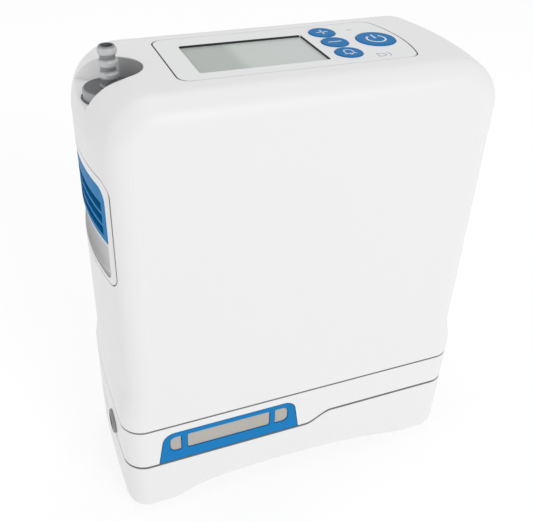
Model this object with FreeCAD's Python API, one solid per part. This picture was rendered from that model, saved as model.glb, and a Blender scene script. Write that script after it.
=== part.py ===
"""Portable oxygen concentrator with a slide-off battery, one STEP file per piece.

Frame: millimetres, +Z up, origin at the middle of the outline on the surface it
stands on.  +X runs along the case, with the nozzle and the intake filter at the
-X end and the exhaust grille at the +X end.  -Y is the front, with the latch.
"""
import FreeCAD, Part
import math
import os

V = FreeCAD.Vector

# ---------------------------------------------------------------- case
LENGTH = 150.0            # over the two bowed ends
TOP = 185.0               # flat top of the case
END_X = LENGTH / 2
END_R = 112.0             # plan radius of the bowed ends
PLINTH_R = 676.0          # plan radius of the nearly flat ends near the seams
SHOULDER_R = 18.0         # rounding between an end and the top
EDGE_R = 9.0              # rounding of the corners and the front and back top edges
HALF_LOW = 34.0           # half width at the upper seam
HALF_TOP = 33.0           # half width at the top
WALL = 2.4
SEAM = 49.3               # seam between the case and the base band
SEAM_GAP = 0.45           # half the seam's open height
FLARE = (57.0, 69.0)      # heights where the square plinth runs out into the case
FLARE_SINK = 0.25         # depth of the flare's top edge inside the case's surface
FIT = 0.3                 # gap round pieces let into a surface

# ---------------------------------------------------------------- control label
LABEL_T = 0.6
LABEL_GAP = 0.25          # groove round the label
LABEL_END_GAP = 0.55      # the same groove at the two ends
LABEL_X = (-44.2, 42.2)
LABEL_TIP_X = 46.0
LABEL_Y = (-19.4, 21.2)
LABEL_CORNER = 4.5
WINDOW_X = (-35.8, 10.9)
WINDOW_Y = (-13.7, 12.9)
LENS_TOP = TOP - 0.8
BUTTONS = {
    "button_plus": (19.6, 12.8, 5.0),
    "button_minus": (19.6, 1.7, 5.0),
    "button_alert": (19.6, -9.5, 5.0),
    "button_power": (35.8, 0.8, 7.4),
}
BUTTON_PROUD = 0.35
LED_AT = (31.0, 13.2)
LED_R = 0.9
BOARD_Z = 173.0           # top of the display board
BOARD_HOLES = [(-37, -17), (-37, 17), (43, -17), (43, 17)]

# ---------------------------------------------------------------- nozzle
NOZZLE = (-62.5, 0.3)
NOZZLE_TIP = 192.2
NOZZLE_BORE = 2.0
NOZZLE_SEAT = 174.0       # height the stem, seal, filter and socket are set out from
BARB_PITCH = 4.0
BARB = ((2.5, 0.0), (3.2, -1.1), (3.2, -2.1), (3.1, -2.5), (2.6, -3.1), (2.55, -3.95))
FLANGE_R = 9.0
FLANGE_TOP = 178.4
POCKET = (-61.5, -0.6)    # centre of the pocket's round part
POCKET_R = 10.1
POCKET_FLOOR = 175.0
POCKET_WALL = 2.0
POCKET_BACK = 54.0        # degrees, where the flaring back wall leaves the round part
POCKET_FRONT = -94.0      # degrees, where the nearly straight front wall leaves it
CUP_LOW = 171.4           # underside of the pocket's cup
WELL_R = 9.75             # sunk seat of the nozzle's flange
WELL_FLOOR = 173.0
STEM_HOLE_R = 5.0

# ---------------------------------------------------------------- intake end
FRAME_Z = (116.8, 158.3)
FRAME_HALF = 29.3
FRAME_R = 5.0
FRAME_T = 1.2
FRAME_GAP = 0.5           # groove round the trim panel
COVER_Z = (134.0, 154.3)
COVER_HALF = 25.8
COVER_SET = 0.1           # depth of the cover's face below the case's surface
COVER_T = 1.3
COVER_DEPTH = 3.6         # depth of the ribs between the slots
THROAT_HALF = 23.3
THROAT_Z = (135.2, 150.9)
SLOT_Z = (135.75, 140.35, 144.95)
SLOT_H = 3.5
SLOT_HALF = 22.4
SLOT_R = 0.5
SCOOP_Z = (118.8, 133.7)
SCOOP_R = 4.0
FILTER_DEPTH = 3.6

# ---------------------------------------------------------------- base band
LOW_SEAM = 28.9           # seam between the band and the battery, left part
STEP_SEAM = 34.0          # the same seam right of the step
STEP_X = (3.0, 15.0)
SEAM_DROP = 0.6           # half the open height of the lower seam
DECK_TOP = 37.0
BAND_WALL = 2.6
BACK_R = 14.0             # wider rounding of the two back corners below the flare
RAIL_Y = 19.0
RAIL_X = (-64.5, 1.5)
INLET = (-9.9, 34.9)      # y, z of the power inlet
INLET_R = 5.2
BARREL_R = 4.7            # mounting barrel behind the inlet's bezel
BARREL_END = -65.4
INLET_BORE_R = 3.4
INLET_BORE_END = -67.0
INLET_PROUD = 76.2        # the inlet stands out to this length
GRILLE_PROUD = 77.0       # and the exhaust grille to this one
CASE_SCREWS = [(sx * 66.0, sy * 27.0) for sx in (-1, 1) for sy in (-1, 1)]
SCREW_HEAD = (34.6, 36.1)
CONTACT_Y = [-9.0, -3.0, 3.0, 9.0]

# ---------------------------------------------------------------- latch
LATCH_LOW = (-61.6, -0.6)
LATCH_TOP = (-59.0, -3.2)
LATCH_TOP_Z = 45.1
LATCH_T = 2.4
LATCH_SINK = 0.05         # depth of the latch's face below the band's front
LATCH_TRAVEL = 1.8
LATCH_BACK_Y = -26.4
SPRING_X = (-42.0, -21.0)
SPRING_Y = (-31.45, -26.45)
SPRING_Z = 36.5
SPRING_R = 1.6
PAD_Z = (35.0, 42.4)
PAD_GAP = 0.3             # groove round each inlay
PAD_OUTLINES = {
    "left": (-56.7, -52.3),
    "middle": (-49.5, -14.0),
    "right": (-11.4, -5.8),
}
PAD_CORNERS = {"left": 2.4, "middle": 0.9, "right": 2.4}

# ---------------------------------------------------------------- battery
FOOT_R = 8.5
ARCH = ((-57.0, 0.0), (-48.0, 2.6), (-38.0, 5.2), (-24.0, 6.3), (-5.0, 6.5),
        (12.0, 6.0), (30.0, 4.3), (46.0, 1.7), (58.0, 0.0))
TUB_WALL = 2.2
TUB_FLOOR = 8.2
TUB_INNER_R = 6.0         # rounding between the floor and the walls inside
LID_T = 1.6
CELL_D = 18.2
CELL_L = 65.0
CELL_Z = 17.4
CELL_Y = 16.5
TUB_POST_R = 3.0
PACK_SCREWS = [(-69.0, 0.0), (0.0, -28.5), (0.0, 28.5), (69.0, 0.0)]

# ---------------------------------------------------------------- inside
COLUMN_X = -28.0
COLUMN_Y = 15.2
COLUMN_R = 14.2
COLUMN_Z = (63.0, 158.0)
COLUMN_WALL = 1.2
CHASSIS_Z = (53.2, 55.2)
PUMP = (28.0, -3.0)       # x, y of the compressor's shaft
PUMP_HALF = (20.0, 21.0)  # half length and half width of its crankcase
PUMP_Z = (61.0, 96.0)
PUMP_FEET = (15.0, 16.0)
CYLINDER_Z = 79.0
MOTOR_R = 19.0
MOTOR_TOP = 120.0
FAN_X = (-57.3, -47.3)
FAN_Z = 142.5             # height of the fan's axis
FAN_HALF = 19.9
FAN_BORE = 18.4
FAN_HOLE = 16.5           # screw holes from the axis, along y and z
VALVE_Y = 14.0
VALVE_TOP = 149.0
MAIN_BOARD = (26.0, 27.6) # y of the main board's two faces
TUBE_R = 1.6


# ================================================================ helpers
def box(x0, x1, y0, y1, z0, z1):
    return Part.makeBox(x1 - x0, y1 - y0, z1 - z0, V(x0, y0, z0))


def rod(x, y, z0, z1, r):
    return Part.makeCylinder(r, z1 - z0, V(x, y, z0))


def rod_x(x0, x1, y, z, r):
    return Part.makeCylinder(r, x1 - x0, V(x0, y, z), V(1, 0, 0))


def rod_y(x, y0, y1, z, r):
    return Part.makeCylinder(r, y1 - y0, V(x, y0, z), V(0, 1, 0))


def fuse(shapes):
    whole = shapes[0]
    for shape in shapes[1:]:
        whole = whole.fuse(shape)
    return whole.removeSplitter()


def cut(shape, tools):
    for tool in tools:
        shape = shape.cut(tool)
    return shape


def rounded_box(x0, x1, y0, y1, z0, z1, r):
    """Box with its four upright edges rounded."""
    block = box(x0, x1, y0, y1, z0, z1)
    upright = [e for e in block.Edges if e.BoundBox.ZLength > z1 - z0 - 1e-6]
    return block.makeFillet(r, upright)


def prism(points, axis, start, depth, radii=None):
    """Closed outline of 2-D points, pushed along axis from start by depth.

    radii gives each corner's rounding, 0 for a sharp one.
    """
    place = {
        "x": lambda p: V(start, p[0], p[1]),
        "y": lambda p: V(p[0], start, p[1]),
        "z": lambda p: V(p[0], p[1], start),
    }[axis]
    push = {"x": V(depth, 0, 0), "y": V(0, depth, 0), "z": V(0, 0, depth)}[axis]
    corners = [place(p) for p in points]
    edges = []
    joints = []
    for i, corner in enumerate(corners):
        r = radii[i] if radii else 0.0
        back = (corners[i - 1] - corner).normalize()
        ahead = (corners[(i + 1) % len(corners)] - corner).normalize()
        if r <= 0:
            joints.append((corner, corner))
            continue
        half = back.getAngle(ahead) / 2
        reach = r / math.tan(half)
        first, last = corner + back * reach, corner + ahead * reach
        inward = (back + ahead).normalize()
        middle = corner + inward * (r / math.sin(half) - r)
        edges.append(Part.Arc(first, middle, last).toShape())
        joints.append((first, last))
    for i in range(len(corners)):
        leave, arrive = joints[i - 1][1], joints[i][0]
        if (arrive - leave).Length > 1e-7:
            edges.append(Part.makeLine(leave, arrive))
    return Part.Face(Part.Wire(Part.__sortEdges__(edges))).extrude(push)


def lathe(profile, x, y):
    """Turned piece: (radius, height) points revolved about the upright axis at x, y."""
    corners = [V(r, 0, z) for r, z in profile]
    face = Part.Face(Part.makePolygon(corners + corners[:1]))
    turned = face.revolve(V(0, 0, 0), V(0, 0, 1), 360)
    turned.translate(V(x, y, 0))
    return turned


def fillet_upright(shape, r, picked):
    """Round the straight upright edges whose (x, y) passes the picked test."""
    edges = []
    for edge in shape.Edges:
        size = edge.BoundBox
        if size.XLength < 1e-4 and size.YLength < 1e-4 and picked(size.XMin, size.YMin):
            edges.append(edge)
    return shape.makeFillet(r, edges)


# ================================================================ case form
def half_width(z):
    """Half width of the drafted front and back faces at height z."""
    return HALF_LOW + (HALF_TOP - HALF_LOW) * (z - SEAM) / (TOP - SEAM)


def end_limit(side, inset, low):
    """Turned solid whose rim is one bowed end with its shoulder."""
    r = END_R - inset
    s = SHOULDER_R - inset
    top = TOP - inset
    bend = s * math.sqrt(0.5)
    corner = [V(0, 0, low), V(r, 0, low), V(r, 0, top - s), V(r - s, 0, top), V(0, 0, top)]
    middle = V(r - s + bend, 0, top - s + bend)
    edges = [
        Part.makeLine(corner[0], corner[1]),
        Part.makeLine(corner[1], corner[2]),
        Part.Arc(corner[2], middle, corner[3]).toShape(),
        Part.makeLine(corner[3], corner[4]),
        Part.makeLine(corner[4], corner[0]),
    ]
    turned = Part.Face(Part.Wire(edges)).revolve(V(0, 0, 0), V(0, 0, 1), 360)
    turned.translate(V(side * (END_X - END_R), 0, 0))
    return turned


def case_form(inset, low):
    """Outside of the case above height low, drawn in all round by inset."""
    wide, narrow = half_width(low) - inset, half_width(TOP) - inset
    slab = prism([(-wide, low), (wide, low), (narrow, TOP), (-narrow, TOP)], "x", -100, 200)
    form = slab.common(end_limit(1, inset, low)).common(end_limit(-1, inset, low))
    form = form.removeSplitter()

    def on_side(edge):
        middle = edge.valueAt((edge.FirstParameter + edge.LastParameter) / 2)
        ends = [vertex.Point for vertex in edge.Vertexes]
        return all(abs(abs(p.y) - half_width(p.z) + inset) < 1e-3 for p in ends + [middle])

    edges = [e for e in form.Edges if on_side(e) and e.BoundBox.ZMax > low + 1e-3]
    return form.makeFillet(max(EDGE_R - inset, 1.0), edges)


def corner_arc(end_r, half, corner, inset):
    """Front-right corner of a level outline: its start, middle and end points."""
    r, h, c = end_r - inset, half - inset, corner - inset
    reach = math.sqrt((r - c) ** 2 - (h - c) ** 2)
    turn = math.atan2(h - c, reach)
    half_turn = (math.pi / 2 + turn) / 2
    centre_x = END_X - end_r
    side_x = centre_x + reach
    start = (side_x, h)
    middle = (side_x + c * math.cos(half_turn), h - c + c * math.sin(half_turn))
    end = (centre_x + r * math.cos(turn), r * math.sin(turn))
    return start, middle, end


def plan_wire(z, end_r, half, corners, inset=0.0):
    """Level outline with bowed ends; corners are the front and back roundings."""
    edges = []
    fronts, backs = [corner_arc(end_r, half, c, inset) for c in corners]
    tip_x = END_X - inset

    def arc(a, b, d):
        return Part.Arc(V(*a, z), V(*b, z), V(*d, z)).toShape()

    def at(point, sx, sy):
        return (sx * point[0], sy * point[1])

    for sx in (1, -1):
        front = [at(p, sx, -1) for p in fronts]
        back = [at(p, sx, 1) for p in backs]
        edges.append(arc(*front))
        edges.append(arc(front[2], (sx * tip_x, 0), back[2]))
        edges.append(arc(back[2], back[1], back[0]))
    left, right = fronts[0], backs[0]
    edges.append(Part.makeLine(V(left[0], -left[1], z), V(-left[0], -left[1], z)))
    edges.append(Part.makeLine(V(right[0], right[1], z), V(-right[0], right[1], z)))
    return Part.Wire(Part.__sortEdges__(edges))


def plinth_block(z0, z1, inset=0.0):
    """Upright block with the nearly square outline of the lower half."""
    wire = plan_wire(z0, PLINTH_R, HALF_LOW, (EDGE_R, BACK_R), inset)
    return Part.Face(wire).extrude(V(0, 0, z1 - z0))


def case_outside():
    """Case above the seam: a square plinth that flares into the bowed upper form."""
    low, high = FLARE
    plinth = plinth_block(SEAM + SEAM_GAP, low)
    flare = Part.makeLoft([
        plan_wire(low, PLINTH_R, HALF_LOW, (EDGE_R, BACK_R)),
        plan_wire(high, END_R, half_width(high), (EDGE_R, EDGE_R), FLARE_SINK),
    ], True, True)
    return fuse([plinth, flare, case_form(0.0, low - 1.0)])


def end_panel(half, z0, z1, foot_r, top_r):
    """Level-sided outline pushed along X through the left end."""
    points = [(-half, z0), (half, z0), (half, z1), (-half, z1)]
    return prism(points, "x", -90, 40, [foot_r, foot_r, top_r, top_r])


def intake_outline(grow):
    r = FRAME_R + grow
    return end_panel(FRAME_HALF + grow, FRAME_Z[0] - grow, FRAME_Z[1] + grow, r, r)


def cover_outline(grow):
    foot_r, top_r = max(1.4 + grow, 0.3), max(4.5 + grow, 0.8)
    return end_panel(COVER_HALF + grow, COVER_Z[0] - grow, COVER_Z[1] + grow, foot_r, top_r)


def scoop_outline(grow):
    return end_panel(COVER_HALF + grow, SCOOP_Z[0] - grow, SCOOP_Z[1] + grow, SCOOP_R + grow, 0.3)


# ================================================================ top pieces
def label_outline(z0, z1, grow):
    """Outline of the control label: straight left end, bowed right end."""
    end_grow = grow * LABEL_END_GAP / LABEL_GAP
    x0, x1 = LABEL_X[0] - end_grow, LABEL_X[1] + end_grow * 0.8
    y0, y1 = LABEL_Y[0] - grow, LABEL_Y[1] + grow
    tip = LABEL_TIP_X + end_grow
    mid_y = (y0 + y1) / 2
    corner = [V(x0, y0, z0), V(x1, y0, z0), V(x1, y1, z0), V(x0, y1, z0)]
    edges = [
        Part.makeLine(corner[0], corner[1]),
        Part.Arc(corner[1], V(tip, mid_y, z0), corner[2]).toShape(),
        Part.makeLine(corner[2], corner[3]),
        Part.makeLine(corner[3], corner[0]),
    ]
    plate = Part.Face(Part.Wire(edges)).extrude(V(0, 0, z1 - z0))
    return fillet_upright(plate, LABEL_CORNER, lambda x, y: True)


def window_block(z0, z1, grow):
    x0, x1 = WINDOW_X[0] - grow, WINDOW_X[1] + grow
    y0, y1 = WINDOW_Y[0] - grow, WINDOW_Y[1] + grow
    return rounded_box(x0, x1, y0, y1, z0, z1, 0.8 + grow)


def control_label():
    plate = label_outline(TOP - LABEL_T, TOP, -LABEL_GAP)
    holes = [window_block(TOP - 2, TOP + 1, 0.0), rod(*LED_AT, TOP - 2, TOP + 1, LED_R + 0.1)]
    for x, y, r in BUTTONS.values():
        holes.append(rod(x, y, TOP - 2, TOP + 1, r + 0.2))
    return cut(plate, holes)


def button(name):
    x, y, r = BUTTONS[name]
    under = TOP - WALL
    cap = rod(x, y, under - 0.1, TOP + BUTTON_PROUD, r)
    rim = [e for e in cap.Edges if e.BoundBox.ZMin > TOP]
    cap = cap.makeFillet(0.25, rim)
    flange = rod(x, y, under - 1.3, under - 0.1, r + 0.45)
    post = rod(x, y, BOARD_Z + 3.0, under - 1.3, 1.4)
    return fuse([cap, flange, post])


def display_board():
    board = rounded_box(-40, 46, -20, 20, BOARD_Z - 1.6, BOARD_Z, 3.0)
    board = cut(board, [rod(x, y, 170, 176, 1.2) for x, y in BOARD_HOLES])
    riser = window_block(BOARD_Z, TOP - WALL - 2.0, 1.6).cut(window_block(BOARD_Z + 3.0, TOP, 0.0))
    return fuse([board, riser])


def tact_switches():
    parts = []
    for x, y, r in BUTTONS.values():
        base = box(x - 3, x + 3, y - 3, y + 3, BOARD_Z, BOARD_Z + 1.6)
        parts.append(fuse([base, rod(x, y, BOARD_Z + 1.6, BOARD_Z + 2.2, 1.6)]))
    return Part.makeCompound(parts)


def lcd_panel():
    return window_block(TOP - WALL - 1.9, TOP - WALL - 0.1, 1.6)


def display_window():
    return window_block(TOP - WALL, LENS_TOP, -0.05)


def window_gasket():
    ring = window_block(TOP - WALL, TOP - LABEL_T - 0.02, 0.6)
    return cut(ring, [window_block(TOP - WALL - 1, TOP, 0.0)])


def status_led():
    return fuse([rod(*LED_AT, TOP - WALL, TOP - 0.05, LED_R), rod(*LED_AT, BOARD_Z, TOP - WALL, 1.5)])


# ================================================================ nozzle
def nozzle_fitting():
    """Turned outlet with three hose barbs above a round flange and a threaded stem."""
    outside = [(NOZZLE_BORE, NOZZLE_TIP)]
    for ring in range(3):
        high = NOZZLE_TIP - ring * BARB_PITCH
        outside += [(r, high + z) for r, z in BARB]
    neck = BARB[-1][0]
    low, foot = NOZZLE_SEAT - 0.6, NOZZLE_SEAT - 4.6
    outside += [(neck, FLANGE_TOP + 1.0), (3.6, FLANGE_TOP), (FLANGE_R - 0.5, FLANGE_TOP),
                (FLANGE_R, FLANGE_TOP - 0.5), (FLANGE_R, low), (4.3, low), (4.3, foot),
                (NOZZLE_BORE, foot)]
    return lathe(outside, *NOZZLE)


def nozzle_seal():
    return Part.makeTorus(4.05, 0.7, V(NOZZLE[0], NOZZLE[1], NOZZLE_SEAT - 5.4))


def output_filter():
    return rod(*NOZZLE, NOZZLE_SEAT - 8.4, NOZZLE_SEAT - 6.4, 4.6)


def nozzle_socket():
    """Threaded socket under the pocket's cup that holds the nozzle and its filter."""
    x, y = NOZZLE
    wall = rod(x, y, NOZZLE_SEAT - 11.0, CUP_LOW - 0.05, 6.6)
    bore = rod(x, y, NOZZLE_SEAT - 8.5, NOZZLE_SEAT, 4.9)
    return cut(wall, [bore, rod(x, y, NOZZLE_SEAT - 12, NOZZLE_SEAT - 8, 1.5)])


def pocket_outline(z0, z1, grow):
    """Round pocket whose walls open out towards the left end."""
    x, y = POCKET
    r = POCKET_R + grow
    points = []
    for angle, side in ((POCKET_BACK, 1), (POCKET_FRONT, -1)):
        turn = math.radians(angle)
        start = (x + r * math.cos(turn), y + r * math.sin(turn))
        run = (start[0] + 90.0) / abs(math.sin(turn))
        end = (-90.0, start[1] + side * run * math.cos(turn))
        points += [start, end] if side > 0 else [end, start]
    wedge = prism(points, "z", z0, z1 - z0)
    return fuse([rod(x, y, z0, z1, r), wedge])


# ================================================================ outer case
def case_bosses():
    parts = []
    for x, y in CASE_SCREWS:
        parts.append(rod(x, y, SEAM + SEAM_GAP, 72.0, 4.2))
    return parts


def outer_case():
    outside = case_outside()
    shell = outside.cut(case_form(WALL, SEAM - 1))
    cup = pocket_outline(CUP_LOW, TOP - 1, POCKET_WALL)
    additions = [cup.common(outside)] + [boss.common(outside) for boss in case_bosses()]
    shell = fuse([shell] + additions)
    tools = [
        label_outline(TOP - LABEL_T, TOP + 5, 0.0),
        window_block(TOP - WALL - 1, TOP + 5, 0.62),
        rod(*LED_AT, TOP - 5, TOP + 5, LED_R + 0.15),
        pocket_outline(POCKET_FLOOR, TOP + 20, 0.0),
        rod(*NOZZLE, WELL_FLOOR, POCKET_FLOOR + 1, WELL_R),
        rod(*NOZZLE, CUP_LOW - 1, POCKET_FLOOR, STEM_HOLE_R),
        end_skin(-1.0, FRAME_T + 0.1, intake_outline(0.0)),
        end_skin(-1.0, COVER_T + 0.25, cover_outline(FIT)),
        throat_outline(FIT),
        scoop_outline(0.0),
        exhaust_opening(0.3, -90),
    ]
    for x, y, r in BUTTONS.values():
        tools.append(rod(x, y, TOP - 5, TOP + 5, r + 0.2))
    for x, y in CASE_SCREWS:
        tools.append(rod(x, y, SEAM - 1, 66.0, 1.35))
    return cut(shell, tools)


def end_skin(depth0, depth1, outline):
    """Slice of the case's left end between two depths, inside an outline."""
    return case_form(depth0, 90.0).cut(case_form(depth1, 89.0)).common(outline)


def filter_frame():
    panel = end_skin(0.0, FRAME_T, intake_outline(-FRAME_GAP))
    opening = fuse([cover_outline(FIT), scoop_outline(0.0)])
    return panel.cut(opening)


def scoop_cup():
    """Cup behind the trim panel, hollowed for a fingertip and deepest at its foot."""
    block = end_skin(0.3, 8.0, scoop_outline(-0.15)).cut(cover_outline(FIT))
    hollow = Part.makeCylinder(22.0, 80, V(-87.6, -40, 138.0), V(0, 1, 0))
    mouth = end_skin(-2.0, 6.8, scoop_outline(-1.2))
    return block.cut(hollow.common(mouth))


def throat_outline(grow):
    """Opening through the case wall behind the louvred cover."""
    z0, z1 = THROAT_Z
    return end_panel(THROAT_HALF + grow, z0 - grow, z1 + grow, 1.0, 2.0)


def intake_cover():
    face = end_skin(COVER_SET, COVER_SET + COVER_T, cover_outline(0.0))
    block = end_skin(COVER_SET + COVER_T / 2, COVER_DEPTH, throat_outline(0.0))
    slots = []
    for z in SLOT_Z:
        points = [(-SLOT_HALF, z), (SLOT_HALF, z), (SLOT_HALF, z + SLOT_H), (-SLOT_HALF, z + SLOT_H)]
        slots.append(prism(points, "x", -90, 40, [SLOT_R] * 4))
    return cut(fuse([face, block]), slots)


def intake_foam():
    return end_skin(COVER_DEPTH + 0.05, COVER_DEPTH + 0.05 + FILTER_DEPTH, throat_outline(-0.4))


def intake_duct():
    """Rectangular duct from behind the foam to the fan."""
    outside = box(-64.4, -57.6, -21.0, 21.0, 130.0, 156.0)
    return cut(outside, [box(-70, -50, -19.4, 19.4, 131.6, 154.4)])


def exhaust_opening(grow, start):
    return rounded_box_x(60, 90, -17 - grow, 17 + grow, 76 - grow, 118 + grow, 4 + grow)


def rounded_box_x(x0, x1, y0, y1, z0, z1, r):
    block = box(x0, x1, y0, y1, z0, z1)
    along = [e for e in block.Edges if e.BoundBox.XLength > x1 - x0 - 1e-6]
    return block.makeFillet(r, along)


def exhaust_grille():
    """Louvred grille that fills the opening in the right end."""
    frame = rounded_box_x(71.0, GRILLE_PROUD, -16.8, 16.8, 76.2, 117.8, 4.0)
    front = [e for e in frame.Edges if e.BoundBox.XMin > GRILLE_PROUD - 1e-3]
    frame = frame.makeFillet(1.0, front)
    slots = [box(60, 90, -13.5, 13.5, 80.0 + 4.0 * i, 82.4 + 4.0 * i) for i in range(9)]
    return cut(frame, slots)


# ================================================================ base band
def seam_profile(offset, low):
    """(x, z) outline of everything below the lower seam, moved up by offset."""
    left = LOW_SEAM + offset
    right = STEP_SEAM + offset
    x0, x1 = STEP_X
    third = (x1 - x0) / 3
    start = V(-100, 0, left)
    shape = [Part.makeLine(V(-100, 0, low), start), Part.makeLine(start, V(x0, 0, left))]
    curve = Part.BezierCurve()
    curve.setPoles([V(x0, 0, left), V(x0 + third, 0, left), V(x1 - third, 0, right), V(x1, 0, right)])
    shape.append(curve.toShape())
    shape += [Part.makeLine(V(x1, 0, right), V(100, 0, right)),
              Part.makeLine(V(100, 0, right), V(100, 0, low)),
              Part.makeLine(V(100, 0, low), V(-100, 0, low))]
    face = Part.Face(Part.Wire(shape))
    face.translate(V(0, -50, 0))
    return face.extrude(V(0, 100, 0))


def rail_groove(y, grow):
    stem = box(RAIL_X[0] - grow, STEP_X[0] + 8, y - 1.5 - grow, y + 1.5 + grow, 20, 31.4)
    head = box(RAIL_X[0] - grow, STEP_X[0] + 8, y - 3.4 - grow, y + 3.4 + grow, 31.2 - grow, 33.0 + grow)
    return fuse([stem, head])


def latch_outline(grow, y0, depth):
    """(x, z) outline of the latch: sides lean in and the top corners are round."""
    low, top = 20.0, LATCH_TOP_Z + grow
    lean = (LATCH_TOP[0] - LATCH_LOW[0]) / (LATCH_TOP_Z - LOW_SEAM)
    drop = LOW_SEAM - low
    x0, x1 = LATCH_LOW[0] - grow - lean * drop, LATCH_LOW[1] + grow + lean * drop
    r = 5.0 + grow
    return prism([(x0, low), (x1, low), (LATCH_TOP[1] + grow, top), (LATCH_TOP[0] - grow, top)],
                 "y", y0, depth, [0, 0, r, r])


def base_band():
    outside = plinth_block(20.0, SEAM - SEAM_GAP)
    body = outside.cut(seam_profile(SEAM_DROP, 0.0))
    inner = plinth_block(DECK_TOP, 60.0, BAND_WALL)
    lip = plinth_block(SEAM - SEAM_GAP, SEAM + 3.0, WALL + 0.5)
    lip = lip.cut(plinth_block(SEAM - 2, SEAM + 4, WALL + 1.9)).common(case_form(WALL + 0.3, SEAM - 5))
    neck = plinth_block(SEAM - 2.0, SEAM - SEAM_GAP, 1.0).cut(plinth_block(SEAM - 4, SEAM, WALL + 1.9))
    body = fuse([body.cut(inner), neck, lip])
    tools = [
        latch_outline(FIT, -40, 40 - HALF_LOW + LATCH_SINK + LATCH_T + LATCH_TRAVEL + FIT),
        box(-52, -11, -32, LATCH_BACK_Y, 20, 43.5),
        rod_x(-80, BARREL_END + 0.2, *INLET, BARREL_R + 0.2),
    ]
    for side in (-1, 1):
        tools.append(rail_groove(side * RAIL_Y, FIT))
    for y in CONTACT_Y:
        tools.append(box(-3.0, 14, y - 0.45, y + 0.45, 30.0, 33.0))
    for x, y in CASE_SCREWS:
        tools.append(rod(x, y, 20, 60, 1.7))
        tools.append(rod(x, y, 20, SCREW_HEAD[1] + 0.05, 3.3))
        tools.append(rod(x, y, SEAM - 1.5, 60, 4.6))
    return cut(body, tools)


def dc_inlet():
    """Power inlet: round bezel, socket and mounting barrel."""
    y, z = INLET
    bezel = rod_x(-INLET_PROUD, -74.0, y, z, INLET_R)
    rim = [e for e in bezel.Edges if e.BoundBox.XMax < -INLET_PROUD + 1e-3]
    bezel = bezel.makeFillet(0.9, rim)
    outside = plinth_block(20, 60)
    bezel = bezel.cut(outside)
    barrel = rod_x(-75.5, BARREL_END, y, z, BARREL_R)
    return cut(fuse([bezel, barrel]), [rod_x(-80, INLET_BORE_END, y, z, INLET_BORE_R)])


def dc_pin():
    return rod_x(-72.0, INLET_BORE_END, *INLET, 1.0)


def case_screws():
    parts = []
    for x, y in CASE_SCREWS:
        head = rod(x, y, SCREW_HEAD[0], SCREW_HEAD[1], 2.9)
        shank = rod(x, y, SCREW_HEAD[1], 64.0, 1.3)
        socket = rod(x, y, SCREW_HEAD[0] - 0.1, SCREW_HEAD[0] + 0.9, 1.1)
        parts.append(fuse([head, shank]).cut(socket))
    return Part.makeCompound(parts)


def device_contacts():
    parts = []
    for y in CONTACT_Y:
        parts.append(box(-2.9, 11.5, y - 0.4, y + 0.4, 30.1, 32.9))
    return Part.makeCompound(parts)


# ================================================================ latch
def pad_block(name, y0, y1, grow):
    """One inlay; the outer corners of the two end pads are rounded."""
    x0, x1 = PAD_OUTLINES[name]
    block = box(x0 - grow, x1 + grow, y0, y1, PAD_Z[0] - grow, PAD_Z[1] + grow)
    r = PAD_CORNERS[name] + grow
    across = [e for e in block.Edges if e.BoundBox.YLength > y1 - y0 - 1e-6]
    if name == "left":
        across = [e for e in across if e.BoundBox.XMax < (x0 + x1) / 2]
    if name == "right":
        across = [e for e in across if e.BoundBox.XMin > (x0 + x1) / 2]
    return block.makeFillet(r, across)


def latch_plate():
    face = -HALF_LOW + LATCH_SINK
    plate = latch_outline(0.0, face, LATCH_T).common(box(-80, 20, -40, 0, LOW_SEAM + 0.5, 60))
    guide = box(-50, -13, face + LATCH_T, -29.4, 31.5, 41.5)
    pockets = [pad_block(name, -40, face + 0.9, PAD_GAP) for name in PAD_OUTLINES]
    springs = [rod_y(x, SPRING_Y[0] - 0.05, -20, SPRING_Z, SPRING_R + 0.6) for x in SPRING_X]
    return cut(fuse([plate, guide]), pockets + springs)


def latch_bracket():
    """Box behind the latch that closes the opening and backs the springs."""
    outside = box(-63.8, 2.0, -31.35, LATCH_BACK_Y + 1.2, DECK_TOP, 47.2)
    return outside.cut(box(-62.6, 0.8, -40, LATCH_BACK_Y, 30, 46.0))


def latch_pads():
    face = -HALF_LOW + LATCH_SINK
    pads = [pad_block(name, face + 0.35, face + 0.9, 0.0) for name in PAD_OUTLINES]
    return Part.makeCompound(pads)


def latch_springs():
    """Two small compression springs behind the latch, each a swept helix."""
    parts = []
    length = SPRING_Y[1] - SPRING_Y[0]
    for x in SPRING_X:
        helix = Part.makeHelix(length / 4 - 0.16, length - 0.7, SPRING_R)
        wire = Part.Wire(helix.Edges)
        section = Part.Wire(Part.makeCircle(0.28, V(SPRING_R, 0, 0), V(0, 1, 0)))
        coil = wire.makePipeShell([section], True, True)
        coil.rotate(V(0, 0, 0), V(1, 0, 0), -90)
        coil.translate(V(x, SPRING_Y[0] + 0.35, SPRING_Z))
        parts.append(coil)
    return Part.makeCompound(parts)


# ================================================================ battery
def arch_cut():
    curve = Part.BSplineCurve()
    points = [V(x, -50, z) for x, z in ARCH]
    curve.interpolate(Points=points, InitialTangent=V(1, 0, 0), FinalTangent=V(1, 0, 0))
    low = -6.0
    first, last = points[0], points[-1]
    edges = [
        curve.toShape(),
        Part.makeLine(last, V(last.x, -50, low)),
        Part.makeLine(V(last.x, -50, low), V(first.x, -50, low)),
        Part.makeLine(V(first.x, -50, low), first),
    ]
    return Part.Face(Part.Wire(edges)).extrude(V(0, 100, 0))


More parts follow.
